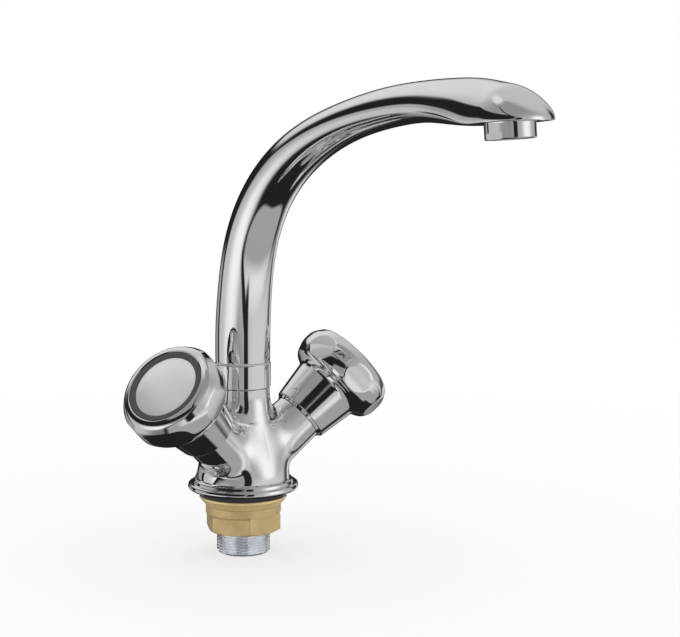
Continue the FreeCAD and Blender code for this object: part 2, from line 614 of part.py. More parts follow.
def dome_cap():
    edge = RING_BORE_R - SLIP_GAP
    rim_z = RING_TOP - 0.5
    low = RECESS_Z
    brim = edge - 0.3
    ball = (brim ** 2 + CAP_DOME ** 2) / (2 * CAP_DOME)
    middle_z = rim_z + 0.2 + CAP_DOME - ball + math.sqrt(ball ** 2 - (brim / 2) ** 2)
    crown_z = rim_z + 0.2 + CAP_DOME
    dome = Part.Arc(V(brim, 0, rim_z + 0.2), V(brim / 2, 0, middle_z), V(0, 0, crown_z)).toShape()
    wire = Part.Wire([dome, Part.makeLine(V(0, 0, crown_z), V(0, 0, low + 1.0)),
                      Part.makeLine(V(0, 0, low + 1.0), V(edge - 1.6, 0, low + 1.0)),
                      Part.makeLine(V(edge - 1.6, 0, low + 1.0), V(edge - 1.6, 0, low)),
                      Part.makeLine(V(edge - 1.6, 0, low), V(edge, 0, low)),
                      Part.makeLine(V(edge, 0, low), V(edge, 0, rim_z)),
                      Part.makeLine(V(edge, 0, rim_z), V(brim, 0, rim_z + 0.2))])
    cap = Part.Face(wire).revolve(CENTRE, UP, 360)
    plug = ring(7.9, 6.6, low - 4.0, low + 1.1)
    return cap.fuse(plug)


def knob_screw():
    seat = SPINDLE_END + 2.4
    head = seat + SCREW_HEAD_H
    screw = turned([(0, SPINDLE_END - 9), (SCREW_R - 0.6, SPINDLE_END - 9), (SCREW_R, SPINDLE_END - 8.4),
                    (SCREW_R, seat), (SCREW_HEAD_R, seat, 0.2), (SCREW_HEAD_R, head, 0.8), (0, head)])
    for turn in (0, 90):
        slot = Part.makeBox(4.6, 0.9, 2, V(-2.3, -0.45, head - 1.5))
        slot.rotate(CENTRE, UP, turn)
        screw = screw.cut(slot)
    return screw


# ---------------------------------------------------------------- assembly
save(body_casting(), "body_casting")
save(threaded_shank(), "threaded_shank")
save(base_gasket(), "base_gasket")
save(clamp_washer(), "clamp_washer")
save(lock_nut(), "lock_nut")
save(spout_collar(), "spout_collar")
save(spout_tail(), "spout_tail")
for place, height in O_RINGS_Z.items():
    save(tail_o_ring(height), "spout_o_ring_" + place)
save(snap_ring(), "spout_snap_ring")
save(glide_washer(), "spout_glide_washer")
spout = spout_casting().cut(waterway()).cut(nozzle_bore())
spout = spout.cut(rod(TAIL_GRIP_R + SLIP_GAP, SPOUT_Z - 1, SPOUT_Z + TAIL_GRIP + 0.5))
save(spout, "spout_casting")
save(at_nozzle(aerator_housing()), "aerator_housing")
save(at_nozzle(aerator_insert()), "aerator_insert")
save(at_nozzle(aerator_washer()), "aerator_washer")
for label, hand in SIDES.items():
    twist = HOT_PHASE if hand < 0 else COLD_PHASE
    save(on_arm(bonnet(), hand), label + "_bonnet")
    save(on_arm(fibre_washer(), hand), label + "_fibre_washer")
    save(on_arm(seat_seal(), hand), label + "_seat_seal")
    save(on_arm(fixed_disc(), hand), label + "_fixed_disc")
    save(on_arm(moving_disc(), hand), label + "_moving_disc")
    save(on_arm(spindle(), hand), label + "_spindle")
    save(on_arm(spindle_o_ring(), hand), label + "_spindle_o_ring")
    save(on_arm(circlip(), hand), label + "_circlip")
    save(on_arm(knob(twist), hand), label + "_knob")
    save(on_arm(index_ring(), hand), label + "_index_ring")
    save(on_arm(dome_cap(), hand), label + "_dome_cap")
    save(on_arm(knob_screw(), hand), label + "_knob_screw")
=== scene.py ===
"""Two handle kitchen faucet in a plain studio: chrome spout, body and knobs, brass clamp and threaded shank.

Pieces are drawn in millimetres in the frame's own axes and turned into metres when they are placed.
"""
import math
import bmesh
import bpy
from bpy.props import FloatProperty, FloatVectorProperty, IntProperty, PointerProperty
from bpy.types import Operator, Panel, PropertyGroup
from mathutils import Matrix, Vector


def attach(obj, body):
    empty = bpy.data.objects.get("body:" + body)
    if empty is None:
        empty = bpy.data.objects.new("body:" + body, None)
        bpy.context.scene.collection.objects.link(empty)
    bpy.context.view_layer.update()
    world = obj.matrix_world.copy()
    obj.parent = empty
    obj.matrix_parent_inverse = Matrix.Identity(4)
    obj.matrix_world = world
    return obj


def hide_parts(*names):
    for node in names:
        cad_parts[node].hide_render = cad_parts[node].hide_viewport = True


bl_info = {
    "name": "Two handle kitchen faucet",
    "version": (1, 0, 0),
    "blender": (4, 5, 0),
    "location": "3D View > Sidebar > Faucet",
    "description": "Builds the visible pieces of a two handle kitchen faucet and its studio",
    "category": "Add Mesh",
}

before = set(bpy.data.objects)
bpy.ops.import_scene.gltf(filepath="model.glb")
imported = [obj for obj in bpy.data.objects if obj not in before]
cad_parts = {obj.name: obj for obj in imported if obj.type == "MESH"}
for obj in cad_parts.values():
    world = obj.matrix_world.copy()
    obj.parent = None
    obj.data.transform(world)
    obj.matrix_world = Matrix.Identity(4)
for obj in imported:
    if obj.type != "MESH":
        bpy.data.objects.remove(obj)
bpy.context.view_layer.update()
MM = 0.001
UP = Vector((0, 0, 1))
ARM_SWING = 15.0                                # both arms point this far towards the user, degrees
HANDS = {"hot": 180.0 + ARM_SWING, "cold": -ARM_SWING}
ARM_ROOT = Vector((0, 0, 8.5))                  # where the arm axes meet the body axis
SPOUT_FOOT_Z = 67.3
FLARE_LOW, FLARE_HIGH = 5.9, 51.0               # ends of the body's flare


# ---- properties
def length(name, description, default):
    return FloatProperty(name=name, description=description, default=default, min=0.0001, precision=4,
                         unit="LENGTH")


def angle(name, description, default):
    return FloatProperty(name=name, description=description, default=math.radians(default), subtype="ANGLE",
                         unit="ROTATION")


def share(name, description, default):
    return FloatProperty(name=name, description=description, default=default, min=0.0, max=1.0,
                         subtype="FACTOR")


def tint(name, description, default):
    return FloatVectorProperty(name=name, description=description, default=default, min=0.0, max=1.0,
                               size=3, subtype="COLOR")


class FaucetSizes(PropertyGroup):
    flange_r: length("Flange radius", "Outer radius of the foot flange", 0.0291)
    foot_r: length("Foot radius", "Radius of the flare where it leaves the foot", 0.0241)
    neck_r: length("Neck radius", "Radius of the body below the collar", 0.0141)
    arm_r: length("Arm radius", "Radius of the arms that carry the valves", 0.0138)
    arm_lift: angle("Arm lift", "Angle of the arms above the sink", 40.0)
    collar_r: length("Collar radius", "Radius of the swivel collar", 0.0146)
    spout_r: length("Spout radius", "Radius of the spout at its foot", 0.0143)
    spout_reach: length("Spout reach", "Nozzle axis to body axis", 0.1864)
    spout_rise: length("Spout rise", "Head rim above the spout foot", 0.1286)
    head_half: length("Head half width", "Half of the width of the spout head", 0.0199)
    nozzle_r: length("Nozzle radius", "Radius of the aerator housing", 0.0116)
    knob_r: length("Knob radius", "Widest radius of the knobs", 0.0270)
    knob_flat: length("Grip flat distance", "Distance of the oval grip flats from the knob axis", 0.0259)
    ring_r: length("Index ring radius", "Outer radius of the ring around the dome", 0.0200)
    dome_rise: length("Dome rise", "Height of the dome above its edge", 0.0023)
    gasket_r: length("Gasket radius", "Outer radius of the rubber base gasket", 0.0234)
    washer_r: length("Washer radius", "Outer radius of the brass clamp washer", 0.0230)
    nut_flats: length("Nut across flats", "Width of the lock nut across its flats", 0.0360)
    shank_r: length("Shank radius", "Outer radius of the shank thread", 0.0140)
    pitch: length("Thread pitch", "Distance between two turns of the shank thread", 0.0015)
    segments: IntProperty(name="Segments", description="Segments around the turned pieces", default=192,
                          min=48, max=384)


class FaucetFinishes(PropertyGroup):
    chrome: tint("Chrome", "Colour of the polished chrome", (0.80, 0.80, 0.804))
    chrome_rough: share("Chrome roughness", "Blur of the reflections in the chrome", 0.045)
    satin: tint("Satin cap", "Colour of the brushed dome caps", (0.79, 0.79, 0.795))
    ring: tint("Index ring", "Colour of the satin index rings", (0.072, 0.072, 0.075))
    brass: tint("Brass", "Colour of the plain brass washer and nut", (0.66, 0.49, 0.235))
    shank: tint("Shank", "Colour of the plated thread", (0.86, 0.89, 0.94))
    rubber: tint("Rubber", "Colour of the rubber gasket and rings", (0.018, 0.018, 0.019))
    plastic: tint("Insert", "Colour of the aerator insert", (0.78, 0.79, 0.80))


class FaucetStudio(PropertyGroup):
    azimuth: angle("Azimuth", "Heading of the camera about the faucet", -42.04)
    elevation: angle("Elevation", "Camera height above the level", 7.64)
    distance: length("Distance", "Camera to the aiming point", 0.9645)
    aim: FloatVectorProperty(name="Aiming point", description="Point in the middle of the picture",
                             default=(0.0376, -0.0339, 0.0898), size=3, subtype="XYZ", unit="LENGTH")
    roll: angle("Roll", "Turn of the camera about its line of sight", 0.2)
    lens: FloatProperty(name="Lens", description="Focal length in millimetres on a 36 mm sensor",
                        default=98.18, min=10.0, max=300.0)
    floor_z: FloatProperty(name="Floor height", description="Height of the floor under the shank",
                           default=-0.0342, unit="LENGTH")


# ---- curves and outlines, in millimetres
def spline(knots, values, start=None, end=None):
    """Cubic spline through the values at the knots, as a function. Slopes at the ends may be given."""
    count = len(knots)
    step = [knots[i + 1] - knots[i] for i in range(count - 1)]
    rise = [(values[i + 1] - values[i]) / step[i] for i in range(count - 1)]
    low, mid, high, right = [0.0] * count, [1.0] * count, [0.0] * count, [0.0] * count
    for i in range(1, count - 1):
        low[i], mid[i], high[i] = step[i - 1], 2 * (step[i - 1] + step[i]), step[i]
        right[i] = 6 * (rise[i] - rise[i - 1])
    if start is not None:
        mid[0], high[0], right[0] = 2 * step[0], step[0], 6 * (rise[0] - start)
    if end is not None:
        low[-1], mid[-1], right[-1] = step[-1], 2 * step[-1], 6 * (end - rise[-1])
    for i in range(1, count):
        share_up = low[i] / mid[i - 1]
        mid[i] -= share_up * high[i - 1]
        right[i] -= share_up * right[i - 1]
    bend = [0.0] * count
    for i in reversed(range(count)):
        ahead = high[i] * bend[i + 1] if i + 1 < count else 0.0
        bend[i] = (right[i] - ahead) / mid[i]

    def at(x):
        i = min(max(sum(1 for k in knots if k <= x) - 1, 0), count - 2)
        h = step[i]
        a, b = knots[i + 1] - x, x - knots[i]
        return (bend[i] * a ** 3 + bend[i + 1] * b ** 3) / (6 * h) \
            + (values[i] / h - bend[i] * h / 6) * a + (values[i + 1] / h - bend[i + 1] * h / 6) * b
    return at


def smooth_min(a, b, reach):
    """Smaller of two levels, with the crossing rounded over the reach."""
    gap = max(reach - abs(a - b), 0.0) / reach
    return min(a, b) - gap ** 3 * reach / 6


def rounded(points, steps=6, hold=0.12):
    """Outline in the XZ plane from (r, z) or (r, z, rounding) points.

    Each arc has a point beside it, so that the smooth shading of the arc ends there.
    """
    spots = [Vector((p[0], 0.0, p[1])) for p in points]
    line = []
    for i, spot in enumerate(spots):
        radius = points[i][2] if len(points[i]) > 2 else 0.0
        if not radius:
            line.append(spot)
            continue
        back = spots[i - 1] - spot
        ahead = spots[(i + 1) % len(spots)] - spot
        room = (back.length, ahead.length)
        back.normalize()
        ahead.normalize()
        half = back.angle(ahead) / 2
        cut = radius / math.tan(half)
        hub = spot + (back + ahead).normalized() * (radius / math.sin(half))
        first, last = spot + back * cut - hub, spot + ahead * cut - hub
        sweep = first.angle(last)
        if room[0] > cut + 3 * hold:
            line.append(spot + back * (cut + hold))
        for k in range(steps + 1):
            t = k / steps
            arc = first * math.sin((1 - t) * sweep) + last * math.sin(t * sweep)
            line.append(hub + arc / math.sin(sweep))
        if room[1] > cut + 3 * hold:
            line.append(spot + ahead * (cut + hold))
    return line


def divided(line, parts_between):
    """Outline with each stretch cut into as many parts as the function gives for its two ends."""
    dense = []
    for a, b in zip(line, line[1:]):
        parts = parts_between(a, b)
        dense += [a.lerp(b, k / parts) for k in range(parts)]
    return dense + [line[-1]]


# ---- meshes
def new_verts(made):
    return [v for v in made if isinstance(v, bmesh.types.BMVert)]


def radius_of(vert):
    return math.hypot(vert.co.x, vert.co.y)


def set_radius(vert, radius):
    """Moves a vertex straight towards the Z axis or away from it."""
    factor = radius / radius_of(vert)
    vert.co.x *= factor
    vert.co.y *= factor


def spun(line, segments):
    """Solid of revolution about Z. An outline that starts and ends on the axis is closed there."""
    bm = bmesh.new()
    verts = [bm.verts.new(p) for p in line]
    for a, b in zip(verts, verts[1:]):
        bm.edges.new((a, b))
    if abs(line[0].x) > 1e-6 or abs(line[-1].x) > 1e-6:
        bm.edges.new((verts[-1], verts[0]))
    bmesh.ops.spin(bm, geom=bm.verts[:] + bm.edges[:], cent=(0, 0, 0), axis=UP, dvec=(0, 0, 0),
                   angle=math.pi / 4, steps=segments // 8, use_merge=False, use_duplicate=False)
    eighth = bm.verts[:] + bm.edges[:] + bm.faces[:]
    for k in range(1, 8):
        made = bmesh.ops.duplicate(bm, geom=eighth)["geom"]
        bmesh.ops.rotate(bm, verts=new_verts(made), cent=(0, 0, 0),
                         matrix=Matrix.Rotation(math.pi / 4 * k, 3, "Z"))
    bmesh.ops.remove_doubles(bm, verts=bm.verts[:], dist=1e-4)
    bmesh.ops.recalc_face_normals(bm, faces=bm.faces[:])
    return bm


def ring_of(bm, spots):
    """Starts a closed ring of vertices at the given points."""
    ring = bmesh.ops.create_circle(bm, cap_ends=False, segments=len(spots), radius=1.0)["verts"]
    return move_ring(ring, spots)


def move_ring(ring, spots):
    for vert, spot in zip(ring, spots):
        vert.co = spot
    return ring


def loop_edges(bm, ring):
    return [bm.edges.get((ring[i], ring[i - 1])) for i in range(len(ring))]


def next_ring(bm, ring, spots):
    """Extrudes a ring of vertices to new points and returns the new ring in the same order."""
    made = bmesh.ops.extrude_edge_only(bm, edges=loop_edges(bm, ring))["geom"]
    fresh = set(new_verts(made))
    moved = []
    for vert in ring:
        moved.append(next(e.other_vert(vert) for e in vert.link_edges if e.other_vert(vert) in fresh))
    return move_ring(moved, spots)


def next_circle(bm, edges, radius, z):
    """Extrudes a loop of edges to a circle about Z and returns the new loop."""
    made = bmesh.ops.extrude_edge_only(bm, edges=edges)["geom"]
    fresh = set(new_verts(made))
    for vert in fresh:
        set_radius(vert, radius)
        vert.co.z = z
    return [e for e in made if isinstance(e, bmesh.types.BMEdge) and all(v in fresh for v in e.verts)]


def close_ring(bm, ring):
    bmesh.ops.contextual_create(bm, geom=loop_edges(bm, ring))


def arm_place(hand):
    """Places a piece drawn about Z onto the arm axis of one hand, in millimetres."""
    sizes = bpy.context.scene.faucet_sizes
    lean = Matrix.Rotation(math.pi / 2 - sizes.arm_lift, 4, "Y")
    turn = Matrix.Rotation(math.radians(HANDS[hand]), 4, "Z")
    return Matrix.Translation(ARM_ROOT) @ turn @ lean


def nozzle_place():
    """Places a piece drawn about Z onto the nozzle axis, which leans with the head of the spout."""
    sizes = bpy.context.scene.faucet_sizes
    at = Vector((0, -sizes.spout_reach / MM, SPOUT_FOOT_Z + sizes.spout_rise / MM))
    return Matrix.Translation(at) @ Matrix.Rotation(math.radians(-5.5), 4, "X")


# ---- pieces
def shade(bm, sharp):
    """Smooth faces, with sharp edges where they meet at more than the given degrees."""
    for face in bm.faces:
        face.smooth = True
    for edge in bm.edges:
        edge.smooth = edge.smooth and edge.calc_face_angle(0.0) < math.radians(sharp)


def piece(bm, name, body, slot, stands_for=(), place=None, sharp=32.0, look=None):
    """Turns a bmesh in millimetres into a placed piece that rides on its body.

    It gets the finish of its slot, unless another look is named.
    """
    bmesh.ops.transform(bm, matrix=Matrix.Scale(MM, 4) @ (place or Matrix()), verts=bm.verts[:])
    shade(bm, sharp)
    mesh = bpy.data.meshes.new(name)
    bm.to_mesh(mesh)
    bm.free()
    mesh.materials.append(finish(look or slot))
    obj = bpy.data.objects.new(name, mesh)
    bpy.context.scene.collection.objects.link(obj)
    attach(obj, body)
    if stands_for:
        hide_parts(*stands_for)
    return obj


def carved(bm, cutters):
    """The bmesh with other closed bmeshes taken out of it."""
    def shown(source, name):
        mesh = bpy.data.meshes.new(name)
        source.to_mesh(mesh)
        source.free()
        obj = bpy.data.objects.new(name, mesh)
        bpy.context.scene.collection.objects.link(obj)
        return obj
    block = shown(bm, "carve_block")
    tools = [shown(cutter, "carve_tool") for cutter in cutters]
    for tool in tools:
        cut = block.modifiers.new("cut", "BOOLEAN")
        cut.operation, cut.solver, cut.object = "DIFFERENCE", "EXACT", tool
    evaluated = block.evaluated_get(bpy.context.evaluated_depsgraph_get())
    result = bmesh.new()
    result.from_mesh(evaluated.to_mesh())
    evaluated.to_mesh_clear()
    for obj in [block] + tools:
        mesh = obj.data
        bpy.data.objects.remove(obj)
        bpy.data.meshes.remove(mesh)
    return result


def rod(radius, low, high, segments, place):
    bm = spun(rounded([(0, low), (radius, low), (radius, high), (0, high)]), segments)
    bmesh.ops.transform(bm, matrix=place, verts=bm.verts[:])
    return bm


# ---- finishes
class Level:
    """A shader socket that takes part in Python arithmetic."""

    def __init__(self, finish, socket):
        self.finish = finish
        self.socket = socket

    def join(self, operation, first, second):
        node = self.finish.node("ShaderNodeMath", {"operation": operation}, {0: first, 1: second})
        return Level(self.finish, node.outputs[0])

    def __add__(self, other):
        return self.join("ADD", self, other)

    def __radd__(self, other):
        return self.join("ADD", other, self)

    def __sub__(self, other):
        return self.join("SUBTRACT", self, other)

    def __rsub__(self, other):
        return self.join("SUBTRACT", other, self)

    def __mul__(self, other):
        return self.join("MULTIPLY", self, other)

    def __rmul__(self, other):
        return self.join("MULTIPLY", other, self)

    def __mod__(self, other):
        return self.join("FLOORED_MODULO", self, other)

    def __pow__(self, other):
        return self.join("POWER", self, other)

    def __abs__(self):
        return self.join("ABSOLUTE", self, 0.0)


class Wiring:
    """Adds nodes to a node tree."""

    def __init__(self, tree):
        self.tree = tree
        tree.nodes.clear()

    def node(self, kind, settings=None, sockets=None):
        """Adds a node, first its settings and then the values or links of its sockets."""
        node = self.tree.nodes.new(kind)
        for key, value in (settings or {}).items():
            setattr(node, key, value)
        for key, value in (sockets or {}).items():
            if isinstance(value, Level):
                value = value.socket
            if isinstance(value, bpy.types.NodeSocket):
                self.tree.links.new(value, node.inputs[key])
            else:
                node.inputs[key].default_value = value
        return node

    def steps(self, level, low, high):
        """Level stretched so that low becomes 0 and high becomes 1, kept in between."""
        node = self.node("ShaderNodeMapRange", {"interpolation_type": "SMOOTHSTEP"},
                         {0: level, 1: low, 2: high, 3: 0.0, 4: 1.0})
        return Level(self, node.outputs[0])


class Finish(Wiring):
    """A material under construction."""

    def __init__(self, name):
        self.material = bpy.data.materials.new(name)
        self.material.use_nodes = True
        super().__init__(self.material.node_tree)
        self.output = self.tree.nodes.new("ShaderNodeOutputMaterial")
        self.place = self.node("ShaderNodeTexCoord").outputs["Object"]

    def noise(self, scale, detail=3.0, roughness=0.55, stretch=None):
        """Noise from 0 to 1, its scale in waves per metre."""
        spot = self.place
        if stretch:
            spot = self.node("ShaderNodeMapping", {}, {"Vector": spot, "Scale": stretch}).outputs[0]
        node = self.node("ShaderNodeTexNoise", {}, {"Vector": spot, "Scale": scale, "Detail": detail,
                                                    "Roughness": roughness})
        return Level(self, node.outputs[0])

    def blend(self, level, first, second):
        """Colour between two colours."""
        node = self.node("ShaderNodeMix", {"data_type": "RGBA"}, {0: level, 6: first, 7: second})
        return node.outputs[2]

    def bump(self, level, depth):
        """Normal from a level, its depth in metres."""
        node = self.node("ShaderNodeBump", {}, {"Height": level, "Distance": depth, "Strength": 1.0})
        return node.outputs["Normal"]

    def surface(self, sockets):
        shader = self.node("ShaderNodeBsdfPrincipled", {}, sockets)
        self.tree.links.new(shader.outputs[0], self.output.inputs["Surface"])
        return self.material


def paint(colour, share_of=1.0):
    """Colour with an alpha, darker or lighter by a share."""
    return tuple(min(c * share_of, 1.0) for c in colour) + (1.0,)


def chrome_finish(made, looks, wave=1.0):
    """Polished chrome: faint polishing waves, a slightly uneven gloss and a few dull patches."""
    patch = made.steps(made.noise(38.0, 4.0), 0.45, 0.75)
    fine = made.noise(900.0, 2.0)
    gloss = looks.chrome_rough * 0.75 + patch * (looks.chrome_rough * 0.6) + fine * 0.008
    wobble = made.noise(42.0, 1.0) * 0.8 + made.noise(130.0, 1.0) * 0.12
    colour = made.blend(patch, paint(looks.chrome), paint(looks.chrome, 0.97))
    return made.surface({"Base Color": colour, "Metallic": 1.0, "Roughness": gloss,
                         "Normal": made.bump(wobble, 0.000014 * wave)})


def satin_finish(made, looks):
    """Brushed dome: fine strokes and a soft sheen."""
    strokes = made.noise(2600.0, 2.0, 0.6)
    patch = made.noise(60.0, 3.0)
    colour = made.blend(strokes * 0.35 + patch * 0.4, paint(looks.satin), paint(looks.satin, 0.93))
    return made.surface({"Base Color": colour, "Metallic": 0.5, "Roughness": 0.27 + strokes * 0.05,
                         "Normal": made.bump(strokes, 0.0000016)})


def ring_finish(made, looks):
    """Satin grey ring of lacquered plastic."""
    grain = made.noise(1900.0, 3.0)
    colour = made.blend(grain, paint(looks.ring, 0.93), paint(looks.ring, 1.08))
    return made.surface({"Base Color": colour, "Metallic": 0.25, "Roughness": 0.42 + grain * 0.08,
                         "Normal": made.bump(grain, 0.000003)})


def brass_finish(made, looks, lines, bright=1.0, grain=0.00003):
    """Plain turned brass: fine tool marks around it, a dull film and darker specks."""
    film = made.steps(made.noise(70.0, 5.0, 0.65), 0.35, 0.7)
    speck = made.steps(made.noise(520.0, 4.0, 0.7), 0.6, 0.78)
    marks = made.noise(40.0, 2.0, 0.5, (1.0, 1.0, lines))
    colour = made.blend(film, paint(looks.brass, bright), paint(looks.brass, 0.84 * bright))
    colour = made.blend(speck * 0.35, colour, paint(looks.brass, 0.5 * bright))
    rough = 0.36 + film * 0.1 + marks * 0.06
    height = marks * 0.5 + made.noise(700.0, 3.0) * 0.5
    return made.surface({"Base Color": colour, "Metallic": 0.55, "Roughness": rough,
                         "Normal": made.bump(height, grain)})


def shank_finish(made, looks):
    """Zinc plated thread: cool grey with a faint uneven film."""
    film = made.steps(made.noise(120.0, 4.0, 0.6), 0.35, 0.75)
    speck = made.noise(900.0, 2.0)
    colour = made.blend(film, paint(looks.shank), paint(looks.shank, 0.82))
    rough = 0.12 + film * 0.08 + speck * 0.03
    return made.surface({"Base Color": colour, "Metallic": 0.85, "Roughness": rough,
                         "Normal": made.bump(speck, 0.000008)})


def plain_finish(made, colour, metallic, rough, grain, depth, vary=0.88):
    """Finish of the smaller pieces: its own grain, with colour and gloss that vary with it."""
    fine = made.noise(grain, 3.0)
    broad = made.noise(90.0, 3.0)
    mixed = made.blend(broad * 0.6 + fine * 0.4, paint(colour), paint(colour, vary))
    return made.surface({"Base Color": mixed, "Metallic": metallic, "Roughness": rough + fine * 0.08,
                         "Normal": made.bump(fine, depth)})


def finish(name):
    """Finish by name, made when it is first asked for. The frame's own materials have the plain names."""
    title = name + "_look"
    if title in bpy.data.materials:
        return bpy.data.materials[title]
    made, looks = Finish(title), bpy.context.scene.faucet_finishes
    plain = {
        "black_rubber": (looks.rubber, 0.0, 0.5, 1400.0, 0.00003, 1.5),
        "fibre": ((0.32, 0.12, 0.07), 0.0, 0.75, 700.0, 0.00004, 0.7),
        "white_plastic": (looks.plastic, 0.0, 0.34, 500.0, 0.000004),
        "spring_steel": ((0.55, 0.55, 0.56), 1.0, 0.28, 1200.0, 0.000004),
        "disc_white": ((0.86, 0.85, 0.83), 0.0, 0.12, 300.0, 0.000001),
    }
    if name in plain:
        return plain_finish(made, *plain[name])
    makers = {
        "chrome_body": (chrome_finish,), "chrome_spout": (chrome_finish, 1.4),
        "chrome_knob": (chrome_finish, 0.6), "satin_cap": (satin_finish,), "ring_grey": (ring_finish,),
        "zinc_shank": (shank_finish,), "brass": (brass_finish, 8.0),
        "brass_washer": (brass_finish, 24.0, 1.38, 0.00006),
    }
    maker, *values = makers[name]
    return maker(made, looks, *values)


# ---- body
class BuildBody(Operator):
    """Foot, flare and neck in one turned casting, with the two arms growing out of it"""
    bl_idname = "faucet.build_body"
    bl_label = "Body and arms"

    inlet_r, inlet_offset = 4.5, 5.8
    chamber_r, chamber_floor = 11.0, 17.5
    arm_end = 47.0
    blend = (3.4, 31.3, -24.2)      # rounding between arm and flare, by powers of the share towards the top

    def flare(self, sizes):
        """Radius of the flare as a function of the height."""
        foot, neck = sizes.foot_r / MM, sizes.neck_r / MM
        heights = (FLARE_LOW, 13.0, 23.0, 33.0, 43.0, FLARE_HIGH)
        rates = (1.0, 0.91, 0.61, 0.31, 0.09, 0.0)
        return spline(heights, [neck + (foot - neck) * r for r in rates], 0.0, 0.0)

    def core(self, sizes, radius_at):
        """Turned casting with its shank socket, spout bore, inlets and valve chambers."""
        rim, foot, neck = sizes.flange_r / MM, sizes.foot_r / MM, sizes.neck_r / MM
        foot_line = rounded([
            (0, 7), (14.05, 7), (14.05, 1.0), (24.5, 1.0), (24.5, 0), (rim - 1.2, 0), (rim, 1.2, 1.0),
            (rim - 0.5, 3.3, 0.9), (26.4, 3.3, 0.25), (26.0, 5.3, 0.8), (foot + 0.4, 5.3, 0.3),
            (foot, FLARE_LOW)])
        heights = [FLARE_LOW + (FLARE_HIGH - FLARE_LOW) * k / 40 for k in range(1, 41)]
        wall = [Vector((radius_at(z), 0, z)) for z in heights]
        top_line = rounded([
            (neck, FLARE_HIGH), (neck, 53.7, 0.25), (neck - 0.5, 54.0), (13.2, 54.0), (13.2, 63.6),
            (11.8, 63.6), (11.8, 61.0), (10.0, 61.0), (10.0, 38), (7, 38), (7, 30), (0, 30)])
        bm = spun(foot_line + wall + top_line[1:], sizes.segments)
        cutters = [rod(self.chamber_r, self.chamber_floor, 60.0, 64, arm_place(hand)) for hand in HANDS]
        for side in (-1, 1):
            place = Matrix.Translation((self.inlet_offset * side, 0, 0))
            cutters.append(rod(self.inlet_r, -1.0, 16.0, 48, place))
        return carved(bm, cutters)

    def arm_trail(self, sizes, radius_at, turn, spot_at):
        """Curve of (p, w) that leads from the arm down onto the flare, for one direction around the arm."""
        arm = sizes.arm_r / MM
        up_share = (1 + math.cos(turn)) / 2
        reach = sum(factor * up_share ** power for power, factor in enumerate(self.blend))

        def flare_gap(p, w):
            spot = spot_at(p, w)
            z = min(max(spot.z, FLARE_LOW), FLARE_HIGH)
            slope = (radius_at(z + 0.05) - radius_at(z - 0.05)) / 0.1
            return (math.hypot(spot.x, spot.y) - radius_at(z)) / math.sqrt(1 + slope ** 2)

        def level(p, w):
            return smooth_min(flare_gap(p, w), p - arm, reach)

        step, nudge = 0.2, 0.01
        p, w = arm, self.arm_end - 1.0
        heading = Vector((0.0, -1.0))
        trail = [(p, w)]
        for _ in range(700):
            p, w = p + heading.x * step, w + heading.y * step
            for _ in range(3):
                here = level(p, w)
                slope = Vector((level(p + nudge, w) - here, level(p, w + nudge) - here)) / nudge
                p, w = p - here * slope.x / slope.length_squared, w - here * slope.y / slope.length_squared
            tangent = Vector((-slope.y, slope.x)).normalized()
            heading = tangent if tangent.dot(heading) > 0 else -tangent
            trail.append((p, w))
            if p - arm - flare_gap(p, w) > reach or not 6.0 <= spot_at(p, w).z <= 53.0:
                break
        return trail

    def bent_part(self, trail, arm, rows):
        """The part of a trail where it leaves the arm's cylinder, from its far end, in even rows."""
        straight = [i for i, (p, w) in enumerate(trail) if p < arm + 1e-3]
        part = trail[straight[-1] if straight else 0:]
        marks = [0.0]
        for a, b in zip(part, part[1:]):
            marks.append(marks[-1] + math.dist(a, b))
        spots = []
        for k in range(rows + 1):
            want = marks[-1] * (1 - k / rows)
            i = min(max(sum(1 for m in marks if m <= want) - 1, 0), len(marks) - 2)
            t = (want - marks[i]) / max(marks[i + 1] - marks[i], 1e-9)
            spots.append([a + (b - a) * t for a, b in zip(part[i], part[i + 1])])
        return spots

    def arm(self, sizes, radius_at):
        """Skin of one arm with its open valve chamber, drawn along the X axis heading.

        Points are given as p, the distance from the arm axis, and w, the way along it from the body axis.
        """
        count, rows = 144, 40
        arm, lift = sizes.arm_r / MM, sizes.arm_lift
        along = Vector((math.cos(lift), 0, math.sin(lift)))
        outs, bends = [], []
        for k in range(count):
            turn = 2 * math.pi * k / count
            out = Vector((-math.sin(lift) * math.cos(turn), math.sin(turn), math.cos(lift) * math.cos(turn)))
            trail = self.arm_trail(sizes, radius_at, turn, lambda p, w: ARM_ROOT + along * w + out * p)
            outs.append(out)
            bends.append(self.bent_part(trail, arm, rows))

        def spots(pairs):
            return [ARM_ROOT + along * w + out * p for out, (p, w) in zip(outs, pairs)]

        bm = bmesh.new()
        base = [bend[0] for bend in bends]
        sunk = ring_of(bm, spots([(p * 0.985 - 0.2, w - 0.5) for p, w in base]))
        heart = spots([(0.4, 4.0)] * count)
        ring = next_ring(bm, sunk, spots(base))
        for edge in loop_edges(bm, ring):
            edge.smooth = False
        for k in range(1, rows + 1):
            ring = next_ring(bm, ring, spots([bend[k] for bend in bends]))
        corner = self.arm_end - 0.6
        for part_way in (0.2, 0.5, 0.8):
            ring = next_ring(bm, ring, spots([(arm, w + (corner - w) * part_way) for p, w in
                                              (bend[rows] for bend in bends)]))
        for inset, depth in ((0.0, 0.6), (0.0, 0.5), (0.06, 0.28), (0.2, 0.1), (0.42, 0.01), (0.5, 0.0)):
            ring = next_ring(bm, ring, spots([(arm - inset, self.arm_end - depth)] * count))
        for p, w in ((9.3, self.arm_end), (9.3, 19.0), (0.4, 19.0)):
            ring = next_ring(bm, ring, spots([(p, w)] * count))
        close_ring(bm, ring)
        close_ring(bm, next_ring(bm, sunk, heart))
        bmesh.ops.recalc_face_normals(bm, faces=bm.faces[:])
        return bm

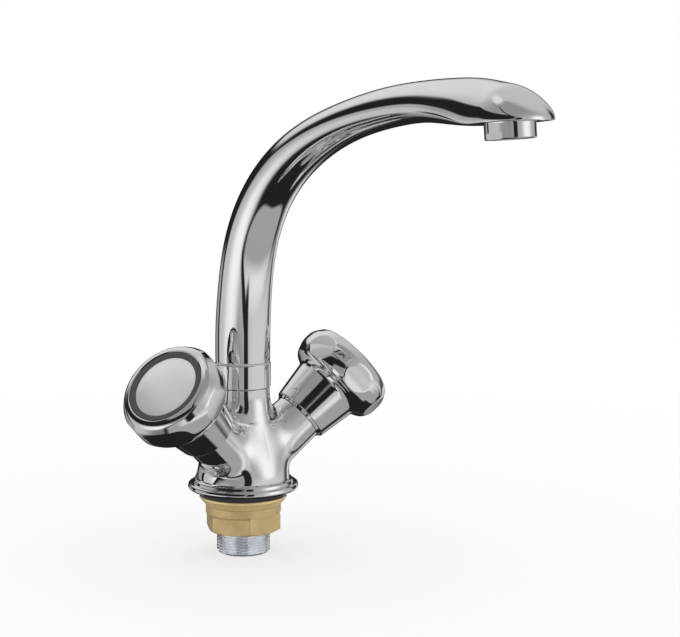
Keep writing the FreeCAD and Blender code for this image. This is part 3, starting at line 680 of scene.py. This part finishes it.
    def execute(self, context):
        sizes = context.scene.faucet_sizes
        radius_at = self.flare(sizes)
        core = self.core(sizes, radius_at)
        piece(core, "body_shell", "faucet", "chrome_body", ["body_casting"])
        arm = self.arm(sizes, radius_at)
        for hand, heading in HANDS.items():
            turned = Matrix.Rotation(math.radians(heading), 4, "Z")
            piece(arm.copy(), hand + "_arm_shell", "faucet", "chrome_body", place=turned)
        arm.free()
        return {"FINISHED"}


class BuildSwivel(Operator):
    """Plain collar that holds the spout"""
    bl_idname = "faucet.build_swivel"
    bl_label = "Swivel collar"

    def execute(self, context):
        sizes = context.scene.faucet_sizes
        r = sizes.collar_r / MM
        line = rounded([(13.25, 54.1), (r - 0.05, 54.1, 0.4), (r, 66.9, 0.7), (10.4, 66.9), (10.4, 63.6),
                        (13.25, 63.6)])
        piece(spun(line, sizes.segments), "collar_shell", "faucet", "chrome_body", ["spout_collar"])
        return {"FINISHED"}


# ---- spout
DRAWN_FOOT_R, DRAWN_HEAD_HALF = 14.3, 19.9
# Share of reach and of rise, lean in degrees, half width, crown, belly, squareness of crown and of belly.
STATIONS = [(0, 0, 0, 14.3, 14.3, 14.3, 2, 2), (0.001, 0.13, 1, 14.3, 14.3, 14.3, 2, 2),
            (0.009, 0.28, 5, 14.1, 13.9, 14, 2, 2), (0.0285, 0.44, 15, 13.9, 13.5, 13.6, 2, 2),
            (0.070, 0.592, 28, 13.7, 13, 13, 2, 2), (0.135, 0.724, 42, 13.3, 12.4, 12.4, 2, 2),
            (0.226, 0.838, 57, 12.9, 11.6, 11.6, 2, 2), (0.339, 0.925, 67, 12.5, 10.9, 10.1, 2, 2),
            (0.4675, 0.986, 75, 12.3, 10.8, 8.6, 2, 2), (0.602, 1.023, 80, 12.5, 11.7, 7.5, 2, 2),
            (0.721, 1.0395, 85.5, 13.6, 12.4, 7, 2, 2.1), (0.810, 1.0335, 90, 15.6, 14.35, 6.5, 2, 2.3),
            (0.890, 1.0145, 89, 18, 17.05, 4.4, 2, 2.7), (0.950, 0.998, 86, 19.5, 18.35, 1.8, 2, 3.2),
            (1, 1, 84.5, 19.9, 16.85, 1, 2, 3.6)]


class BuildSpout(Operator):
    """Swinging spout: round at its foot, flattening along the reach and ending in the rounded head"""
    bl_idname = "faucet.build_spout"
    bl_label = "Spout"

    foot_edge, socket, socket_top = 0.985, 0.77, 78.4   # shares of the foot's radius, and a height
    nose_rows, nose_drop = 64, 4.2                      # the drop is that of the ridge at the tip

    def section(self, row, count):
        """Points of one section, from the right side over the crown."""
        y, z, lean, half, crown, belly, crown_power, belly_power = row
        out = Vector((0, math.cos(math.radians(lean)), math.sin(math.radians(lean))))
        spots = []
        for k in range(count):
            t = 2 * math.pi * k / count
            power, height = (crown_power, crown) if t <= math.pi else (belly_power, -belly)
            across = math.copysign(abs(math.cos(t)) ** (2 / power), math.cos(t))
            lift = abs(math.sin(t)) ** (2 / power)
            spots.append(Vector((half * across, y, z)) + out * (height * lift))
        return spots

    def rows(self, sizes):
        """The stations at the size of the spout, in millimetres."""
        foot_scale = sizes.spout_r / MM / DRAWN_FOOT_R
        head_scale = sizes.head_half / MM / DRAWN_HEAD_HALF
        rows = []
        for s, r, lean, half, crown, belly, crown_power, belly_power in STATIONS:
            wide = foot_scale + (head_scale - foot_scale) * s
            rows.append((-sizes.spout_reach / MM * s, SPOUT_FOOT_Z + sizes.spout_rise / MM * r, lean,
                         half * wide, crown * wide, belly, crown_power, belly_power))
        return rows

    def execute(self, context):
        rows = self.rows(context.scene.faucet_sizes)
        knots = [0.0]
        for a, b in zip(rows, rows[1:]):
            knots.append(knots[-1] + math.dist(a[:2], b[:2]))
        end = knots[-1]
        y, z, lean, half, crown, *below = rows[-1]
        ahead = Vector((0, -math.sin(math.radians(lean)), math.cos(math.radians(lean))))
        end_slopes = {0: ahead.y, 1: ahead.z, 3: 0.0}      # of reach, rise and half width
        channels = [spline(knots, [row[i] for row in rows], None, end_slopes.get(i)) for i in range(8)]
        count, total = 96, 150
        marks = [0.25, 0.6, 1.2] + [end * k / total for k in range(1, total + 1)]
        bm = bmesh.new()
        foot = ring = ring_of(bm, self.section([c(0.0) for c in channels], count))
        for vert in foot:
            set_radius(vert, radius_of(vert) * self.foot_edge)
        for mark in marks:
            ring = next_ring(bm, ring, self.section([c(mark) for c in channels], count))
        slope = (channels[4](end) - channels[4](end - 0.01)) / 0.01 * half
        for k in range(1, self.nose_rows + 1):
            turn = math.pi / 2 * k / self.nose_rows
            out, across = math.sin(turn), math.cos(turn)
            spot = Vector((0, y, z)) + ahead * ((half - 0.1) * out)
            tall = across * (crown + slope * out - self.nose_drop * out ** 2)
            row = (spot.y, spot.z, lean, half * across, tall, *below)
            ring = next_ring(bm, ring, self.section(row, count))
        for share_of, z in ((self.socket, SPOUT_FOOT_Z), (1.0, self.socket_top)):
            foot = next_ring(bm, foot, [Vector((v.co.x * share_of, v.co.y * share_of, z)) for v in foot])
        close_ring(bm, foot)
        bmesh.ops.remove_doubles(bm, verts=bm.verts[:], dist=2e-3)
        bmesh.ops.recalc_face_normals(bm, faces=bm.faces[:])
        piece(bm, "spout_shell", "spout", "chrome_spout", ["spout_casting"], sharp=50.0)
        return {"FINISHED"}


class BuildNozzle(Operator):
    """Aerator housing with its two wrench flats"""
    bl_idname = "faucet.build_nozzle"
    bl_label = "Nozzle"

    def execute(self, context):
        r = context.scene.faucet_sizes.nozzle_r / MM
        low, step, flat_depth = -7.9, -5.0, 1.0
        line = rounded([(7.4, low), (r - 0.4, low, 0.25), (r, low + 0.45, 0.25), (r, step - 0.004),
                        (r, step + 0.004), (r, -1.0), (10.0, -1.0), (10.0, 6.0), (8.6, 6.0), (8.6, low + 1.0),
                        (7.4, low + 1.0)])
        bm = spun(line, 240)
        for vert in bm.verts:
            here = radius_of(vert)
            if vert.co.z < step and here > 9.0:
                side = abs(vert.co.x) / here
                set_radius(vert, min(here, (r - flat_depth) / max(side, 0.5)))
        piece(bm, "nozzle_shell", "spout", "chrome_spout", ["aerator_housing"], nozzle_place(), 20.0,
              "chrome_knob")
        return {"FINISHED"}


# ---- knobs
class BuildKnobs(Operator):
    """Knob shells with six oval grip flats, their satin rings and domed caps"""
    bl_idname = "faucet.build_knobs"
    bl_label = "Knobs"

    phases = {"hot": 28.5, "cold": 24.0}       # heading of one grip flat about the knob axis, degrees
    seat = 82.65                               # floor of the recess for ring and cap, along the arm axis
    grip_low, grip_row = 64.0, 0.65            # the flats' part of the outline gets even short rows
    flat_mid, flat_lean, flat_bow = 74.6, 6.0, 0.013

    def shell(self, sizes, phase):
        """Turned shell with the six flats pressed into it."""
        wide, ring = sizes.knob_r / MM, sizes.ring_r / MM
        outer = rounded([
            (15.7, 41.7, 0.45), (19.2, 64.2, 4.4), (24.4, 66.4, 5.5), (wide + 0.25, 72.2, 9.5),
            (wide - 0.25, 79.6, 8.5), (ring + 3.4, 84.8, 4.6), (ring + 0.5, 85.6, 0.3), (ring + 0.05, 85.3),
            (ring + 0.05, self.seat), (0, self.seat), (0, 84.0)], 14, 0.25)[:-2]

        def parts_between(a, b):
            gripped = min(a.z, b.z) > self.grip_low and min(a.x, b.x) > ring + 0.2
            return int((b - a).length / self.grip_row) + 1 if gripped else 1

        inner = [Vector(p) for p in ((0, 0, 57.0), (16.2, 0, 57.0), (14.4, 0, 47.7), (14.4, 0, 41.7))]
        bm = spun(inner + divided(outer, parts_between) + [Vector((0, 0, self.seat))], 480)
        lean = math.tan(math.radians(self.flat_lean))
        for vert in bm.verts:
            here = radius_of(vert)
            if here < ring + 0.12 or not 60.0 < vert.co.z < 86.0:
                continue
            turn = math.degrees(math.atan2(vert.co.y, vert.co.x)) - phase
            off = math.radians((turn + 30.0) % 60.0 - 30.0)
            up = vert.co.z - self.flat_mid
            room = (sizes.knob_flat / MM + up * lean - self.flat_bow * up ** 2) / math.cos(off)
            set_radius(vert, smooth_min(here, room, 0.28))
        return bm

    def ring(self, sizes):
        r = sizes.ring_r / MM
        low = self.seat + 0.01
        line = [(16.9, low), (r, low), (r, 85.2, 0.35), (r - 1.2, 85.32), (16.9, 85.1, 0.3)]
        return spun(rounded(line, 6, 0.1), 192)

    def cap(self, sizes):
        """Cap with a spherical dome inside a small chamfer."""
        dome, edge, brim = sizes.dome_rise / MM, 16.85, 84.75
        low, under = self.seat + 0.01, self.seat + 1.0
        rim = edge - 0.35
        ball = (rim ** 2 + dome ** 2) / (2 * dome)
        line = [(0, under), (edge - 1.6, under), (edge - 1.6, low), (edge, low), (edge, brim - 0.25),
                (edge - 0.1, brim - 0.05)]
        for k in range(25):
            r = rim * (1 - k / 24)
            line.append((r, brim + dome - ball + math.sqrt(ball ** 2 - r ** 2)))
        return spun(rounded(line), 192)

    def execute(self, context):
        sizes = context.scene.faucet_sizes
        for hand, phase in self.phases.items():
            place, body = arm_place(hand), hand + "_handle"
            for bm, part, slot, node in ((self.shell(sizes, phase), "knob", "chrome_knob", "knob"),
                                         (self.ring(sizes), "ring", "ring_grey", "index_ring"),
                                         (self.cap(sizes), "cap", "satin_cap", "dome_cap")):
                piece(bm, hand + "_" + part + "_shell", body, slot, [hand + "_" + node], place)
        return {"FINISHED"}


# ---- pieces under the sink
class BuildClamp(Operator):
    """Rubber gasket, brass washer and hexagonal lock nut"""
    bl_idname = "faucet.build_clamp"
    bl_label = "Gasket, washer and nut"

    nut_phase = 0.8         # heading of one corner of the nut, degrees

    def nut(self, sizes):
        """Round collar over a hexagon with softened corners and a chamfer at its lower end."""
        flat = sizes.nut_flats / MM / 2
        corner = flat / math.cos(math.radians(30))
        top = -8.32
        shoulder, low, soft = top - 4.2, top - 14.0, 0.35
        line = rounded([
            (14.08, top), (19.8, top, 0.35), (19.8, shoulder), (corner + 0.1, shoulder - 0.01),
            (corner + 0.1, low + 1.75, 0.3), (flat - 0.3, low, 0.4), (15.0, low), (14.08, low + 0.9)])

        def parts_between(a, b):
            if a.z > b.z and a.x > flat and b.x > flat and (a - b).length > 2:
                return 9
            return 6 if a.x > flat and b.x < a.x and a.z < shoulder else 1

        bm = spun(divided(line, parts_between), 360)
        for vert in bm.verts:
            here = radius_of(vert)
            if vert.co.z > shoulder - 0.005 or here < flat - 1.5:
                continue
            turn = math.degrees(math.atan2(vert.co.y, vert.co.x)) - self.nut_phase
            room = flat / math.cos(math.radians(turn % 60.0 - 30.0))
            drop = shoulder - 0.01 - vert.co.z
            if drop < soft:
                room -= soft - math.sqrt(max(soft ** 2 - (soft - drop) ** 2, 0.0))
            set_radius(vert, min(here, smooth_min(smooth_min(here, room, soft), corner - 0.12, 0.3)))
        return bm

    def execute(self, context):
        sizes = context.scene.faucet_sizes
        g, w = sizes.gasket_r / MM, sizes.washer_r / MM
        gasket = spun(rounded([(14.3, -3.3), (g - 0.5, -3.3, 0.5), (g, -1.7, 0.9), (g + 0.8, -0.02),
                               (g + 0.8, 0.98), (14.3, 0.98)]), sizes.segments)
        piece(gasket, "gasket_shell", "faucet", "black_rubber", ["base_gasket"])
        washer = spun(rounded([(14.4, -8.3), (19.9, -8.3, 0.4), (w, -4.5, 0.5), (w, -3.3, 0.3),
                               (14.4, -3.3)]), sizes.segments)
        piece(washer, "washer_shell", "washer", "brass", ["clamp_washer"], look="brass_washer")
        piece(self.nut(sizes), "nut_shell", "nut", "brass", ["lock_nut"])
        return {"FINISHED"}


class BuildShank(Operator):
    """Threaded shank: one thread ridge wound around the tube, turned down at its lower end"""
    bl_idname = "faucet.build_shank"
    bl_label = "Threaded shank"

    def execute(self, context):
        sizes = context.scene.faucet_sizes
        r, pitch = sizes.shank_r / MM, sizes.pitch / MM
        root, stub, bore, chamfer = r - 0.78, 13.0, 11.6, 0.5
        low, high = -33.1, -0.4         # ends of the thread
        bottom, top = -34.0, 6.9        # ends of the tube
        turns = int((high - low) / pitch) + 3
        bm = bmesh.new()
        shape = [(root, 0.0), (root, 0.10), (r - 0.06, 0.44), (r, 0.47), (r, 0.55), (r - 0.06, 0.58),
                 (root, 0.92), (root, 1.0)]
        verts = [bm.verts.new((p, 0, low - pitch * 1.4 + share_up * pitch)) for p, share_up in shape]
        for a, b in zip(verts, verts[1:]):
            bm.edges.new((a, b))
        bmesh.ops.spin(bm, geom=bm.verts[:] + bm.edges[:], cent=(0, 0, 0), axis=UP, dvec=(0, 0, pitch / 96),
                       angle=2 * math.pi, steps=96, use_merge=False, use_duplicate=False)
        turn = bm.verts[:] + bm.edges[:] + bm.faces[:]
        for k in range(1, turns):
            made = bmesh.ops.duplicate(bm, geom=turn)["geom"]
            bmesh.ops.translate(bm, verts=new_verts(made), vec=(0, 0, pitch * k))
        bmesh.ops.remove_doubles(bm, verts=bm.verts[:], dist=1e-3)
        for level, side in ((low, -1), (high, 1)):
            bmesh.ops.bisect_plane(bm, geom=bm.verts[:] + bm.edges[:] + bm.faces[:], dist=1e-5,
                                   plane_co=(0, 0, level), plane_no=(0, 0, side), clear_outer=True,
                                   clear_inner=False)
        loops = []
        for level, end, mouth in ((low, bottom, bore + chamfer), (high, top, bore)):
            rim = [e for e in bm.edges if e.is_boundary and all(abs(v.co.z - level) < 1e-3 for v in e.verts)]
            loops.append(next_circle(bm, next_circle(bm, rim, stub, end), mouth, end))
        loops[0] = next_circle(bm, loops[0], bore, bottom + 0.6)
        bmesh.ops.bridge_loops(bm, edges=loops[0] + loops[1])
        bmesh.ops.recalc_face_normals(bm, faces=bm.faces[:])
        piece(bm, "shank_shell", "faucet", "zinc_shank", ["threaded_shank"], sharp=40.0)
        return {"FINISHED"}


class FinishInnerPieces(Operator):
    """Gives the valves, seals, rings and aerator insert of the frame their finishes"""
    bl_idname = "faucet.finish_inner_pieces"
    bl_label = "Inner pieces"

    slots = {
        "bonnet": "brass", "fibre_washer": "fibre", "seat_seal": "black_rubber", "fixed_disc": "disc_white",
        "moving_disc": "disc_white", "spindle": "brass", "spindle_o_ring": "black_rubber",
        "circlip": "spring_steel", "knob_screw": "spring_steel", "spout_tail": "brass",
        "spout_o_ring_lower": "black_rubber", "spout_o_ring_upper": "black_rubber",
        "spout_snap_ring": "white_plastic", "spout_glide_washer": "white_plastic",
        "aerator_insert": "white_plastic", "aerator_washer": "black_rubber",
    }

    def execute(self, context):
        for name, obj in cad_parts.items():
            if obj.hide_render:
                continue
            plain = name.replace("hot_", "").replace("cold_", "")
            if plain not in self.slots:
                raise RuntimeError("no finish for the piece " + name)
            obj.data.materials.clear()
            obj.data.materials.append(finish(self.slots[plain]))
        return {"FINISHED"}


# ---- studio
ROOM_LEVEL = 0.34       # of the walls that only the metal sees
# Screens and flags of the room, later ones in front. In degrees: heading from the camera's side towards the
# right of the picture, height above level, half width, half height, tilt. Then squareness, softness of the
# edge, and brightness.
SCREENS = (
    (-160, 58, 60, 37, 0, 2.4, 0.8, 0.7),
    (150, 55, 50, 40, 0, 2.5, 0.6, 0.62),
    (-105, 78, 50, 10, 0, 3, 0.5, 0.85),
    (-155, 36, 34, 19, 0, 3, 0.5, 0.82),
    (72, 5, 54, 36, 0, 2.1, 0.6, 0.52),
    (72, 6, 19, 20, 0, 2, 0.7, 1.1),
    (137, 2, 11, 24, 0, 3, 0.4, 0.03),
    (-56, 20.5, 64, 14.5, 0, 5, 0.1, 0.018),
    (0, -90, 720, 50, 0, 6, 0.1, 0.018),
    (-93, -1, 42, 9, -4, 4, 0.25, 0.45),
    (-78, -18, 48, 18, 0, 4, 0.25, 0.62),
    (-56, -17, 27, 13, 0, 2, 0.7, 1.1),
    (-143, 7, 30, 9.5, 0, 3, 0.2, 0.018),
    (-120, -6, 6, 17, 0, 3, 0.3, 0.018),
    (48, -43, 88, 32, 0, 2.8, 0.08, 0.018),
    (46, -41, 76, 27, 0, 2.3, 0.06, 0.42),
    (50, -19, 58, 7, 0, 2.5, 0.8, 0.9),
    (72, -9, 46, 6, 0, 4, 0.6, 0.72),
    (156, -20, 13, 14, 0, 3, 0.35, 0.8),
    (186, -12, 25, 32, 0, 3, 0.25, 0.018),
    (17, 0, 9, 20, -8, 2.6, 0.2, 0.018),
    (-6, -17, 30, 2.6, 16, 3, 0.25, 0.018),
    (-16, 43, 36, 2.4, -40, 3, 0.4, 0.02),
)


class BuildStudio(Operator):
    """Pale floor, white room with the screens and flags that the metal sees, and the camera"""
    bl_idname = "faucet.build_studio"
    bl_label = "Studio"

    def world(self, studio):
        """White room. The metal sees its screens and flags, everything else sees it plain."""
        world = bpy.data.worlds.new("studio")
        bpy.context.scene.world = world
        world.use_nodes = True
        world.cycles.sampling_method = "NONE"
        room = Wiring(world.node_tree)
        out = room.node("ShaderNodeOutputWorld")
        look = room.node("ShaderNodeTexCoord").outputs["Generated"]
        cos, sin = math.cos(studio.azimuth), math.sin(studio.azimuth)

        def towards(way):
            node = room.node("ShaderNodeVectorMath", {"operation": "DOT_PRODUCT"}, {0: look, 1: way})
            return Level(room, node.outputs["Value"])

        side, near, height = towards((cos, sin, 0.0)), towards((sin, -cos, 0.0)), towards((0.0, 0.0, 1.0))
        turn = side.join("ARCTAN2", side, near) * math.degrees(1.0)
        lift = height.join("ARCSINE", height, 0.0) * math.degrees(1.0)
        level = ROOM_LEVEL
        for heading, rise, wide, high, tilt, square, soft, glow in SCREENS:
            across = (turn + (540.0 - heading)) % 360.0 - 180.0
            up = lift - rise
            c, s = math.cos(math.radians(tilt)), math.sin(math.radians(tilt))
            a = abs(across * (c / wide) + up * (s / wide))
            b = abs(up * (c / high) - across * (s / high))
            edge = (a ** square + b ** square) ** (1.0 / square)
            level = level + (glow - level) * (1.0 - room.steps(edge, 1.0 - soft, 1.0 + soft))
        mirror = Level(room, room.node("ShaderNodeLightPath").outputs["Is Glossy Ray"])
        strength = 1.0 + (level - 1.0) * mirror
        back = room.node("ShaderNodeBackground", {}, {"Color": (1.0, 1.0, 1.0, 1.0), "Strength": strength})
        room.tree.links.new(back.outputs[0], out.inputs["Surface"])

    def floor(self, studio):
        """Round floor that glows more the further out, so that it keeps only a soft shadow at the faucet."""
        bm = bmesh.new()
        bmesh.ops.create_circle(bm, cap_ends=True, cap_tris=False, segments=96, radius=12.0)
        mesh = bpy.data.meshes.new("floor")
        bm.to_mesh(mesh)
        bm.free()
        floor = bpy.data.objects.new("floor", mesh)
        floor.location = (0, 0, studio.floor_z)
        bpy.context.scene.collection.objects.link(floor)
        made = Finish("floor")
        base = made.node("ShaderNodeBsdfDiffuse", {}, {"Color": (0.93, 0.93, 0.93, 1.0)})
        glow = made.node("ShaderNodeEmission", {}, {"Color": (1.0, 1.0, 1.0, 1.0), "Strength": 1.0})
        away = made.node("ShaderNodeVectorMath", {"operation": "LENGTH"}, {0: made.place})
        fade = 0.6 + made.steps(Level(made, away.outputs["Value"]), 0.06, 0.6) * 0.4
        mixed = made.node("ShaderNodeMixShader", {}, {0: fade, 1: base.outputs[0], 2: glow.outputs[0]})
        made.tree.links.new(mixed.outputs[0], made.output.inputs["Surface"])
        mesh.materials.append(made.material)
        floor.visible_glossy = False

    def camera(self, studio):
        camera = bpy.data.cameras.new("camera")
        camera.lens = studio.lens
        camera.sensor_width = 36.0
        camera.sensor_fit = "HORIZONTAL"
        camera.clip_start, camera.clip_end = 0.01, 50.0
        eye = bpy.data.objects.new("camera", camera)
        bpy.context.scene.collection.objects.link(eye)
        level = math.cos(studio.elevation)
        heading = Vector((math.sin(studio.azimuth) * level, -math.cos(studio.azimuth) * level,
                          math.sin(studio.elevation)))
        look = heading.to_track_quat("Z", "Y").to_matrix().to_4x4() @ Matrix.Rotation(studio.roll, 4, "Z")
        eye.matrix_world = Matrix.Translation(Vector(studio.aim) + heading * studio.distance) @ look
        bpy.context.scene.camera = eye

    def execute(self, context):
        studio = context.scene.faucet_studio
        self.world(studio)
        self.floor(studio)
        self.camera(studio)
        context.scene.view_settings.view_transform = "Standard"
        return {"FINISHED"}


class FaucetPanel(Panel):
    """Lists the pieces of the faucet and its studio"""
    bl_idname = "VIEW3D_PT_faucet"
    bl_label = "Kitchen faucet"
    bl_space_type = "VIEW_3D"
    bl_region_type = "UI"
    bl_category = "Faucet"

    def draw(self, context):
        for maker in MAKERS:
            self.layout.operator(maker.bl_idname)
        for group in ("faucet_sizes", "faucet_finishes", "faucet_studio"):
            values = getattr(context.scene, group)
            box = self.layout.box()
            for name in values.__annotations__:
                box.prop(values, name)


MAKERS = (BuildBody, BuildSwivel, BuildSpout, BuildNozzle, BuildKnobs, BuildClamp, BuildShank,
          FinishInnerPieces, BuildStudio)
GROUPS = {"faucet_sizes": FaucetSizes, "faucet_finishes": FaucetFinishes, "faucet_studio": FaucetStudio}


def register():
    for group in GROUPS.values():
        bpy.utils.register_class(group)
    for maker in MAKERS:
        bpy.utils.register_class(maker)
    bpy.utils.register_class(FaucetPanel)
    for name, group in GROUPS.items():
        setattr(bpy.types.Scene, name, PointerProperty(type=group))


def unregister():
    for name in GROUPS:
        delattr(bpy.types.Scene, name)
    bpy.utils.unregister_class(FaucetPanel)
    for maker in reversed(MAKERS):
        bpy.utils.unregister_class(maker)
    for group in reversed(GROUPS.values()):
        bpy.utils.unregister_class(group)


def main():
    register()
    bpy.ops.faucet.build_body()
    bpy.ops.faucet.build_swivel()
    bpy.ops.faucet.build_spout()
    bpy.ops.faucet.build_nozzle()
    bpy.ops.faucet.build_knobs()
    bpy.ops.faucet.build_clamp()
    bpy.ops.faucet.build_shank()
    bpy.ops.faucet.finish_inner_pieces()
    bpy.ops.faucet.build_studio()


if __name__ == "__main__":
    main()
